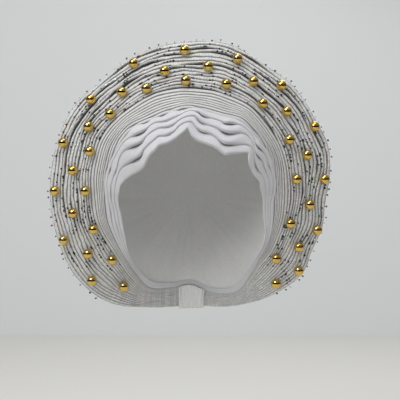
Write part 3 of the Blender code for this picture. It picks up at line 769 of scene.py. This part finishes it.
def pleatEdges(look, start):
    # places of the pleats' free edges. They sway together, slowly, and a little each on its own,
    # and the first one follows the outer brow fold in a calmer line just under it.
    count, seed = look["count"], look["seed"]
    share = np.arange(count + 1)[:, None] / count
    arched = np.sin(np.pi * share) ** 0.5

    def each(first, waves):
        return np.stack([ripple(angles, first + number, *waves) for number in range(count + 1)]) * arched

    common = ripple(angles, seed, *pleatForm["swayWaves"]) * np.sin(np.pi * share)
    common = common + ripple(angles, seed + 1, *pleatForm["counterWaves"]) * np.sin(2 * np.pi * share)
    inner = 0 * angles + start
    if start == 1:
        near = bump(angles[:, None], angles, look["calm"])
        side = np.abs(angles)
        beside = easeStep(side, *look["besideFrom"]) * (1 - easeStep(side, *look["besideTo"]))
        inner = near @ hemPlaces()[4] / near.sum(1) - look["under"] - look["underMore"] * beside
    moved = (look["sway"] * common + look["own"] * each(seed + 10, pleatForm["ownWaves"])
             + look["fine"] * each(seed + 30, pleatForm["fineWaves"]))
    return inner + (start + 1 - inner) * (share + moved / count)


def edgeLift(look, edge):
    # how far an edge stands off at its slits, and with the small flutter everywhere
    slit = liftAlong(look["slits"], "edge", edge)
    flutter = np.clip(1 + ripple(angles, look["seed"] + 100 + edge, *pleatForm["flutterWaves"]), 0, 3)
    return slit[:, None], (slit + look["flutter"] * flutter)[:, None]


def pleatHeights(look, start, number, places, full, last):
    # the section's rise and the edge's lift, less the hollow under the next edge, and closed
    # behind up to the next pleat's back
    across, rise = pleatSection["across"], pleatSection["rise"]
    over, above = edgeLift(look, number + 1)
    grown = edgeLift(look, number)[1] * (1 - easeStep(across, *pleatForm["lifted"]))
    hollow = pleatForm["hollow"] * (over / pleatForm["fullLift"]) * easeStep(across, *pleatForm["hollowed"])
    free = (look["rise"] * rise + grown - hollow) * full
    shut = above * pleatForm["followed"] + look["rise"] * full - pleatForm["tailGap"] * pleatForm["wall"]
    heights = free + (shut - free) * pleatSection["closed"] * (0 if last else 1)
    if start == 1:  # down under the outer brow fold
        hem = hemPlaces()[4][:, None]
        dive = 1 - easeStep(places, hem - look["diveFrom"], hem + look["diveTo"])
        heights = heights - look["dive"] * dive
    if last:
        heights = np.where(across > pleatForm["rimFlat"], np.maximum(heights, pleatForm["rimLeast"]), heights)
    return heights


def pleatShade(look, number):
    # painted shade: dark towards the next edge and under the pleat's own, deeper in some stretches than in
    # others and where the next edge stands off; on the back, painted shade beside the tail of the pleat
    # before
    across = pleatSection["across"]
    over = np.minimum(edgeLift(look, number + 1)[0] / pleatForm["fullLift"], 1)
    waves = ripple(angles, look["seed"] + 50 + number, *pleatForm["deepWaves"])
    deep = look["deep"] + pleatForm["deepSway"] * waves
    deep = np.maximum(np.clip(deep, pleatForm["leastDeep"], 1)[:, None], over)
    towards = easeStep(across, look["lineFrom"], pleatForm["lineTo"])
    underEdge = 1 - easeStep(pleatSection["rise"], *pleatForm["edgeShade"])
    line = np.where(across < pleatForm["edgeTo"], underEdge, towards)
    slit = 1 - pleatForm["slitDark"] * over * easeStep(across, *pleatForm["slitShade"])
    least = pleatForm["behindDark"]
    behind = least + (1 - least) * easeStep(across, *pleatForm["behindShade"])
    return np.clip((1 - pleatForm["lineDark"] * deep * line) * slit, 0, 1), behind


def pleats(name, look, start, material, node):
    # each pleat runs from its free edge outwards and ends under the next one
    count = look["count"]
    edges = pleatEdges(look, start)
    width = zoneWidth(angles, start)
    full = np.minimum(width / width.max(), 1)[:, None] ** pleatForm["taper"]
    across = pleatSection["across"]
    lines, shells = [], []
    for number in range(count):
        last = number == count - 1 and start == 2
        reach = np.where(across > 1, 1, across) if last else across
        places = edges[number][:, None] + (edges[number + 1] - edges[number])[:, None] * reach
        if start == 1 and number == 0:  # this one goes on behind the brow folds as far as the crown
            places[:, :3] = look["innerEnd"]
        points, normals, _ = bandAt(angles[:, None], np.clip(places, *pleatForm["placeRange"]))
        heights = pleatHeights(look, start, number, places, full, last)
        heights = heights * np.where(heights > 0, pressed(points), 1)
        front = points + heights[..., None] * normals
        facing = surfaceNormals(front, True, normals)
        taper = pleatSection["wall"] * np.maximum(full, pleatForm["leastWall"])
        back = wall(front, facing, pleatForm["wall"], taper)
        shells.append(shell(front, back, True, {"paintedShade": pleatShade(look, number)}))
        row = pleatForm["stoneRow"]
        lines.append((front[:, row], unit(normals[:, row] + pleatForm["stoneTurn"] * facing[:, row])))
    for number, part in enumerate(np.array_split(np.arange(count), round(count / 3))):
        clothPiece(f"{name}_{number + 1}", [shells[k] for k in part], material, [node])
    return lines


pleats("plain_pleat_cloth", plainPleat, 1, cloth["fanCloth"], "plain_pleats")
print("plain pleats made")
edgeLines = pleats("beaded_pleat_cloth", beadedPleat, 2, cloth["beadedCloth"], "beaded_pleats")
print("beaded pleats made")


# The crown. It starts behind the folds and ends at the pole, at the back.
crown = {
    "rows": 40, "places": 400, "seed": 40, "wall": 0.0012, "from": 0.54, "under": 0.0002,
    "underMore": 0.0012, "pole": (0.0, 1.0, 0.0), "reach": 0.985, "gathers": 0.0008, "gatherWaves": (18, 46),
    # shade and gatherShade set the crown's mask: a little darker all over, and painted shade along the
    # gathers
    "gatherArch": 1.6, "shade": 0.93, "gatherShade": 0.10,
}


def headRadius(directions):
    # distance from the crown's middle to its outside, an ellipsoid
    half = np.array([head["width"], head["length"], head["height"]]) / 2 + head["wall"]
    return 1 / np.linalg.norm(directions / half, axis=-1, keepdims=True)


def crownCloth():
    # meridians from behind the folds to the pole, each a great circle that comes to the ellipsoid
    # as it runs on
    at = np.arange(crown["places"]) * 360 / crown["places"] - 180
    points, normals, _ = bandAt(at, np.minimum(around(at, brow, "second"), crown["from"]))
    width = zoneWidth(at, 0)[:, None]
    middle = np.array([0, 0, -head["height"] / 2])
    # snug under the folds
    start = points - normals * (crown["under"] + crown["underMore"] * width / width.max()) - middle
    length = np.linalg.norm(start, axis=1, keepdims=True)
    start = start / length
    ease = length / headRadius(start) - 1
    pole = np.array(crown["pole"])
    bend = np.arccos(np.clip(start @ pole, -1, 1))[:, None, None]
    share = np.linspace(0, crown["reach"], crown["rows"])[None, :, None]
    way = (np.sin((1 - share) * bend) * start[:, None] + np.sin(share * bend) * pole) / np.sin(bend)
    gathers = ripple(at, crown["seed"], *crown["gatherWaves"])[:, None, None]
    gathers = gathers * np.sin(np.pi * share) ** crown["gatherArch"] * (1 - share)
    radius = headRadius(way) * (1 + ease[:, None] * (1 - share) ** 3)
    radius = radius + crown["gathers"] * (gathers - 1) * share
    outer = middle + way * radius
    inner = outer - unit(way) * crown["wall"]
    # painted shade along the gathers: darker in their hollows, lighter on their ridges
    shade = np.clip(crown["shade"] + crown["gatherShade"] * gathers[..., 0], 0, 1)
    ends = np.stack([outer[:, -1].mean(0), inner[:, -1].mean(0)])
    part = shell(outer, inner, True, {"paintedShade": (shade, shade)}, ends)
    clothPiece("crown_cloth", [part], cloth["crownCloth"], ["crown_wrap"])
    print("crown made")


crownCloth()


# The beads
def turned(profile, sides):
    # a closed profile of (radius, height) turned about its axis, as points and faces
    turn = np.arange(sides) * 2 * np.pi / sides
    radius, height = profile[:, 0], profile[:, 1]
    size = len(height)
    points = np.stack([np.outer(np.cos(turn), radius), np.outer(np.sin(turn), radius),
                       np.broadcast_to(height, (sides, size))], -1)
    i, j = np.meshgrid(np.arange(sides), np.arange(size), indexing="ij")
    i, j = i.ravel(), j.ravel()
    corners = [(i, j), (i + 1, j), (i + 1, j + 1), (i, j + 1)]
    return points.reshape(-1, 3), np.stack([(a % sides) * size + b % size for a, b in corners], 1)


def alongPleats(middles):
    # the way round the fan at each bead
    turn = np.arctan2(middles[:, 0], middles[:, 2] + fan["drop"])
    return np.stack([np.cos(turn), 0 * turn, -np.sin(turn)], 1)


def addBeads():
    # a round bead drilled through along the pleats, its rim softly rounded
    first = math.asin(bead["hole"] * bead["lip"] / bead["radius"])
    arc = np.linspace(first, math.pi - first, bead["rings"])
    outer = np.stack([bead["radius"] * np.sin(arc), bead["radius"] * np.cos(arc)], 1)
    bore = np.array([(1.0, -0.985), (0.92, -0.9), (0.92, 0.9), (1.0, 0.985)]) * [bead["hole"], outer[0, 1]]
    points, faces = turned(np.concatenate([outer, bore]), bead["sides"])
    for name, middle, axis in zip(beadNames, beadMiddles, alongPleats(beadMiddles)):
        spin = np.array(Vector(axis).to_track_quat("Z", "Y").to_matrix())
        mesh = addMesh(f"gold_{name}", points @ spin.T + middle, [faces])
        addPiece(f"gold_{name}", mesh, gold, [name])
    print("beads made")


addBeads()

# Stones on the pleats' edges, and on short threads beyond the rim. dark and clear are shares of
# them all, and the rest is amber; reach is in degrees from the top.
stones = {
    "seed": 11, "radius": 0.00112, "sizes": (0.75, 1.15), "small": 0.75, "dark": 0.66, "clear": 0.28,
    "sides": 8, "seat": 0.0004, "tilt": 0.25, "spacing": 0.0100, "reach": 128, "clusterWaves": (6, 30),
    # mean, sway, least and greatest density
    "cluster": (0.8, 1.3, 0.08, 3.5), "beadRoom": 1.25,
    "rimReach": 136, "rimTries": 120, "rimSteps": (2.0, 5.2), "thread": 0.00014, "threadRoot": 0.0012,
    "rootUp": 0.0002, "threadOut": (0.0010, 0.0030), "threadUp": (-0.0004, 0.0008), "threadBend": 0.0004,
}


def gem(sides):
    # a small cut stone: a table, a ring of facets and a pointed back
    turn = np.arange(sides) * 2 * np.pi / sides

    def ring(radius, height, shift):
        x, y = radius * np.cos(turn + shift), radius * np.sin(turn + shift)
        return np.stack([x, y, np.full(sides, height)], 1)

    points = np.concatenate([ring(0.55, 0.62, 0.0), ring(1.0, 0.15, np.pi / sides), [[0, 0, -0.6]]])
    i = np.arange(sides)
    after = (i + 1) % sides
    upper, lower = np.stack([i, sides + i, after], 1), np.stack([after, sides + i, sides + after], 1)
    pointed = np.stack([sides + after, sides + i, 0 * i + 2 * sides], 1)
    return points, [i[None], np.concatenate([upper, lower, pointed])]


def tubes(paths, radius, sides=6):
    # thin round threads along paths (how many, points each, 3), each ring square to its path
    ahead = unit(np.gradient(paths, axis=1))
    side = unit(np.cross(ahead, [0.31, 0.17, 0.93]))
    other = np.cross(ahead, side)
    turn = np.arange(sides) * 2 * np.pi / sides
    ring = side[:, :, None] * np.cos(turn)[:, None] + other[:, :, None] * np.sin(turn)[:, None]
    points = paths[:, :, None] + ring * radius
    count, size = paths.shape[:2]
    base = np.arange(count)[:, None, None] * size * sides
    i, j = np.meshgrid(np.arange(size - 1), np.arange(sides), indexing="ij")
    corners = [(i, j), (i, j + 1), (i + 1, j + 1), (i + 1, j)]
    walls = np.stack([a * sides + b % sides for a, b in corners], -1).reshape(1, -1, 4)
    ends = np.stack([np.arange(sides)[::-1], np.arange(sides) + (size - 1) * sides])[None]
    return points.reshape(-1, 3), [(walls + base).reshape(-1, 4), (ends + base).reshape(-1, sides)]


def rimStones(random):
    # stones just outside the rim, each on a thread from the outer pleat
    at = -stones["rimReach"] + np.cumsum(random.uniform(*stones["rimSteps"], stones["rimTries"]))
    at = at[at < stones["rimReach"]]
    points, normals, along = bandAt(at, 0 * at + 3)
    places = points + along * random.uniform(*stones["threadOut"], len(at))[:, None]
    places = places + normals * random.uniform(*stones["threadUp"], len(at))[:, None]
    roots = points - along * stones["threadRoot"] + normals * stones["rootUp"]
    bend = (roots + places) / 2 + normals * stones["threadBend"]
    paths = arch(roots, bend, places, np.linspace(0, 1, 6)[None, :, None])
    mesh = addMesh("stone_threads", *tubes(paths, stones["thread"]))
    addPiece("stone_threads", mesh, cloth["fanCloth"], ["beaded_pleats"])
    return places, normals


def addStones():
    # in loose clusters along each edge, a little tilted, and none right beside a bead
    random = np.random.default_rng(stones["seed"])
    base, sway, least, most = stones["cluster"]
    places, ways = [], []
    for line, normals in edgeLines:
        step = np.linalg.norm(np.roll(line, -1, 0) - line, axis=1)
        waves = ripple(angles, random.integers(10000), *stones["clusterWaves"])
        density = np.clip(base + sway * waves, least, most)
        chance = step / stones["spacing"] * density * (np.abs(angles) < stones["reach"])
        chosen = random.random(stations) < chance
        away = np.linalg.norm(line[:, None] - beadMiddles, axis=-1).min(1)
        chosen = chosen & (away > stones["beadRoom"] * bead["radius"])
        places.append(line[chosen])
        ways.append(normals[chosen])
    outside, facing = rimStones(random)
    places, ways = np.concatenate([*places, outside]), np.concatenate([*ways, facing])
    ways = unit(ways + random.normal(0, stones["tilt"], ways.shape))
    spin = random.uniform(0, 2 * np.pi, len(ways))
    side = unit(np.cross(ways, [0.3, 0.1, 1.0]))
    x = side * np.cos(spin)[:, None] + np.cross(ways, side) * np.sin(spin)[:, None]
    turn = np.stack([x, np.cross(ways, x), ways], 2)
    kind = np.digitize(random.random(len(ways)), [stones["dark"], stones["dark"] + stones["clear"]])
    size = stones["radius"] * random.uniform(*stones["sizes"], len(ways))
    size = size * np.where(kind == 0, 1, stones["small"])
    cut, faces = gem(stones["sides"])
    points = places[:, None] + np.einsum("kij,vj->kvi", turn, cut) * size[:, None, None]
    points = points + ways[:, None] * stones["seat"]
    tones = random.random(len(ways))
    for number, key in enumerate(("dark", "clear", "amber")):
        mine = kind == number
        shift = np.arange(mine.sum())[:, None, None] * len(cut)
        mesh = addMesh(
            f"stones_{key}", points[mine].reshape(-1, 3),
            [(f[None] + shift).reshape(-1, f.shape[1]) for f in faces],
            masks={"tone": np.repeat(tones[mine], len(cut))})
        mesh.shade_flat()
        addPiece(f"stones_{key}", mesh, stoneFinish[key], ["beaded_pleats"])
    print("stones made:", len(ways))


addStones()

# The threads that hold the beads: radius, and how far along and down from the bead's middle each
# starts, bends and ends
beadThread = {"radius": 0.0002, "start": 0.0042, "bend": 0.0062, "end": 0.0058, "down": 0.0052}


def beadThreads():
    # from each end of the bead's hole, down in a curve to the cloth beside it
    axis = alongPleats(beadMiddles)
    down = np.array([0.0, beadThread["down"], 0.0])
    t = np.linspace(0, 1, 7)[None, :, None]
    paths = []
    for way in (-1, 1):
        start, bend, end = (beadMiddles + way * axis * beadThread[key] for key in ("start", "bend", "end"))
        paths.append(arch(start, bend, end + down, t))
    mesh = addMesh("bead_threads", *tubes(np.concatenate(paths), beadThread["radius"]))
    addPiece("bead_threads", mesh, cloth["fanCloth"], ["beaded_pleats"])
    print("bead threads made")


beadThreads()

# The nape binding. Shares along it: over is where it turns over the rim, rows are the stretches of
# the grid, and the stitches, each stitchShare of a step long, lie in the flats front and back.
binding = {
    "width": 0.028, "from": 1.12, "rise": 0.0030, "drop": 0.0031, "wall": 0.0012, "columns": 48,
    "rows": ((0, 0.45, 18), (0.455, 0.545, 8), (0.55, 1, 18)),
    "over": (0.46, 0.54), "edgeDrop": 0.22, "edgeFrom": 0.82, "crease": 0.00025, "fineCrease": 0.0002,
    "flats": ((0.03, 0.43), (0.57, 0.97)), "stitchStep": 0.03099173554, "stitchShare": 0.62, "inset": 0.0022,
    "threadRadius": 0.00028, "stitchRise": 0.00045, "stitchSink": 0.0002,
}


def bindingPoint(x, t):
    # x runs across the strip in metres and t along it: up the front, over the rim, down the back
    turns = [0, *binding["over"], 1]
    place = np.interp(t, turns, [binding["from"], 3.0, 3.0, binding["from"]])
    radius = np.linalg.norm(bandAt(180.0, place)[0][..., [0, 2]] + [0, fan["drop"]], axis=-1)
    points, normals, along = bandAt(180 - np.degrees(np.arcsin(x / radius)), place)
    over = np.interp(t, turns, [0, 0, np.pi, np.pi])[..., None]
    half = (binding["rise"] + binding["drop"]) / 2
    edge = 1 - binding["edgeDrop"] * easeStep(np.abs(x) / (binding["width"] / 2), binding["edgeFrom"], 1.0)
    # shallow creases along the gathers beneath: two sines across the strip, the first one swaying
    crease = (binding["crease"] * np.sin(x * 2100 + 2 * np.sin(t * 9))
              + binding["fineCrease"] * np.sin(x * 900 + 14 * t))
    out = np.cos(over) * normals + np.sin(over) * along
    return points + (half - binding["drop"]) * normals + (half * edge + crease)[..., None] * out, out


def napeBinding():
    x = np.linspace(-0.5, 0.5, binding["columns"])[:, None] * binding["width"]
    t = np.concatenate([np.linspace(*stretch) for stretch in binding["rows"]])[None]
    outer, out = bindingPoint(*np.broadcast_arrays(x, t))
    inner = wall(outer, surfaceNormals(outer, False, out), binding["wall"], 1.0)
    strip = shell(outer, inner, False, {"paintedShade": (1.0, 1.0)})
    clothPiece("nape_binding_cloth", [strip], cloth["crownCloth"], ["nape_binding"])
    # running stitches inside both long edges, front and back
    step = binding["stitchStep"]
    starts = np.concatenate([np.arange(*flat, step) for flat in binding["flats"]])
    t = starts[:, None] + np.linspace(0, step * binding["stitchShare"], 7)[None]
    lift = np.sin(np.linspace(0, np.pi, 7))[None, :, None] * binding["stitchRise"] - binding["stitchSink"]
    paths = []
    for side in (-1, 1):
        points, out = bindingPoint(0 * t + side * (binding["width"] / 2 - binding["inset"]), t)
        paths.append(points + out * lift)
    mesh = addMesh("binding_stitches", *tubes(np.concatenate(paths), binding["threadRadius"]))
    addPiece("binding_stitches", mesh, cloth["browCloth"], ["nape_binding"])
    print("nape binding made")


napeBinding()

# The studio. Lights are place, target, size and power; reflected is what polished metal picks up
# from below to above, with a black line at eye level.
studio = {
    "wall": (0.72, 0.738, 0.745), "floor": (0.70, 0.69, 0.66), "sky": (0.60, 0.61, 0.62), "fill": 0.62,
    "mottle": 0.985, "mottleScale": 1.5, "blue": 1.02,
    "floorHeight": -0.4618, "wallPlace": 1.60, "floorFront": -1.25, "size": 7.0,
    "camera": (0.010, -1.080, -0.100), "lens": 90.0, "sensor": 36.0,
    "lights": {
        "key": ((-0.68, -1.0, 0.92), (0, 0, -0.08), 0.8, 13),
        "top": ((0.10, -0.30, 1.2), (0, 0.05, -0.1), 0.7, 4),
        "back": ((0.35, 1.1, 1.0), (0, 0.05, -0.1), 0.8, 5),
    },
    "reflected": [
        (0.0, 0.60), (0.31, 0.55), (0.355, 0.0), (0.61, 0.0), (0.645, 0.20), (0.80, 0.24), (1.0, 0.45)],
}


def plainMaterial(name, colour):
    material, tree, shader = startMaterial(name, {"Roughness": 0.9})
    patches = noise(tree, objectPlace(tree), studio["mottleScale"])[0]
    darker = (*(c * studio["mottle"] for c in colour), 1.0)
    putValue(tree, shader["Base Color"], blend(tree, patches, darker, (*colour, 1.0)))
    return material


def stagePlane(name, corners, colour):
    mesh = addMesh(name, np.array(corners, float), [np.array([[0, 1, 2, 3]])])
    mesh.materials.append(plainMaterial(name + "Paint", colour))
    plane = bpy.data.objects.new(name, mesh)
    bpy.context.scene.collection.objects.link(plane)


def areaLight(name, place, target, size, power):
    light = bpy.data.lights.new(name, "AREA")
    light.shape, light.size, light.energy = "DISK", size, power
    lamp = bpy.data.objects.new(name, light)
    lamp.location = place
    lamp.rotation_euler = (Vector(target) - Vector(place)).to_track_quat("-Z", "Y").to_euler()
    bpy.context.scene.collection.objects.link(lamp)


def studioWorld():
    # pale to the eye, an even soft light for cloth, and the reflected bands for gloss
    world = bpy.data.worlds.new("studio")
    bpy.context.scene.world = world
    world.use_nodes = True
    tree = world.node_tree
    way = addNode(tree, "ShaderNodeTexCoord", {}).outputs["Generated"]
    level = remap(tree, addNode(tree, "ShaderNodeSeparateXYZ", {0: way}).outputs["Z"], -1.0, 1.0)
    ramp = addNode(tree, "ShaderNodeValToRGB", {0: level})
    for place, _ in studio["reflected"][1:-1]:
        ramp.color_ramp.elements.new(place)
    for element, (place, value) in zip(ramp.color_ramp.elements, studio["reflected"]):
        element.position, element.color = place, (value, value, value * studio["blue"], 1.0)
    path = addNode(tree, "ShaderNodeLightPath", {}).outputs
    shine = blend(tree, path["Is Glossy Ray"], (*[studio["fill"]] * 3, 1.0), ramp.outputs[0])
    seen = blend(tree, path["Is Camera Ray"], shine, (*studio["sky"], 1.0))
    background = tree.nodes["Background"].inputs
    putValue(tree, background["Color"], seen)
    background["Strength"].default_value = 1.0
    bpy.context.scene.view_settings.view_transform = "Standard"


def studioSet():
    half, low = studio["size"] / 2, studio["floorHeight"]
    near, far = studio["floorFront"], studio["wallPlace"]
    across = [(-half, far, low), (half, far, low)]
    stagePlane("floor", [(-half, near, low), (half, near, low), *across[::-1]], studio["floor"])
    stagePlane("backdrop", [*across, (half, far, low + half), (-half, far, low + half)], studio["wall"])
    for name, values in studio["lights"].items():
        areaLight(name, *values)
    studioWorld()
    lens = bpy.data.cameras.new("camera")
    lens.lens, lens.sensor_width = studio["lens"], studio["sensor"]
    camera = bpy.data.objects.new("camera", lens)
    camera.location = studio["camera"]
    camera.rotation_euler = (math.pi / 2, 0, 0)
    bpy.context.scene.collection.objects.link(camera)
    bpy.context.scene.camera = camera
    print("studio made")


studioSet()
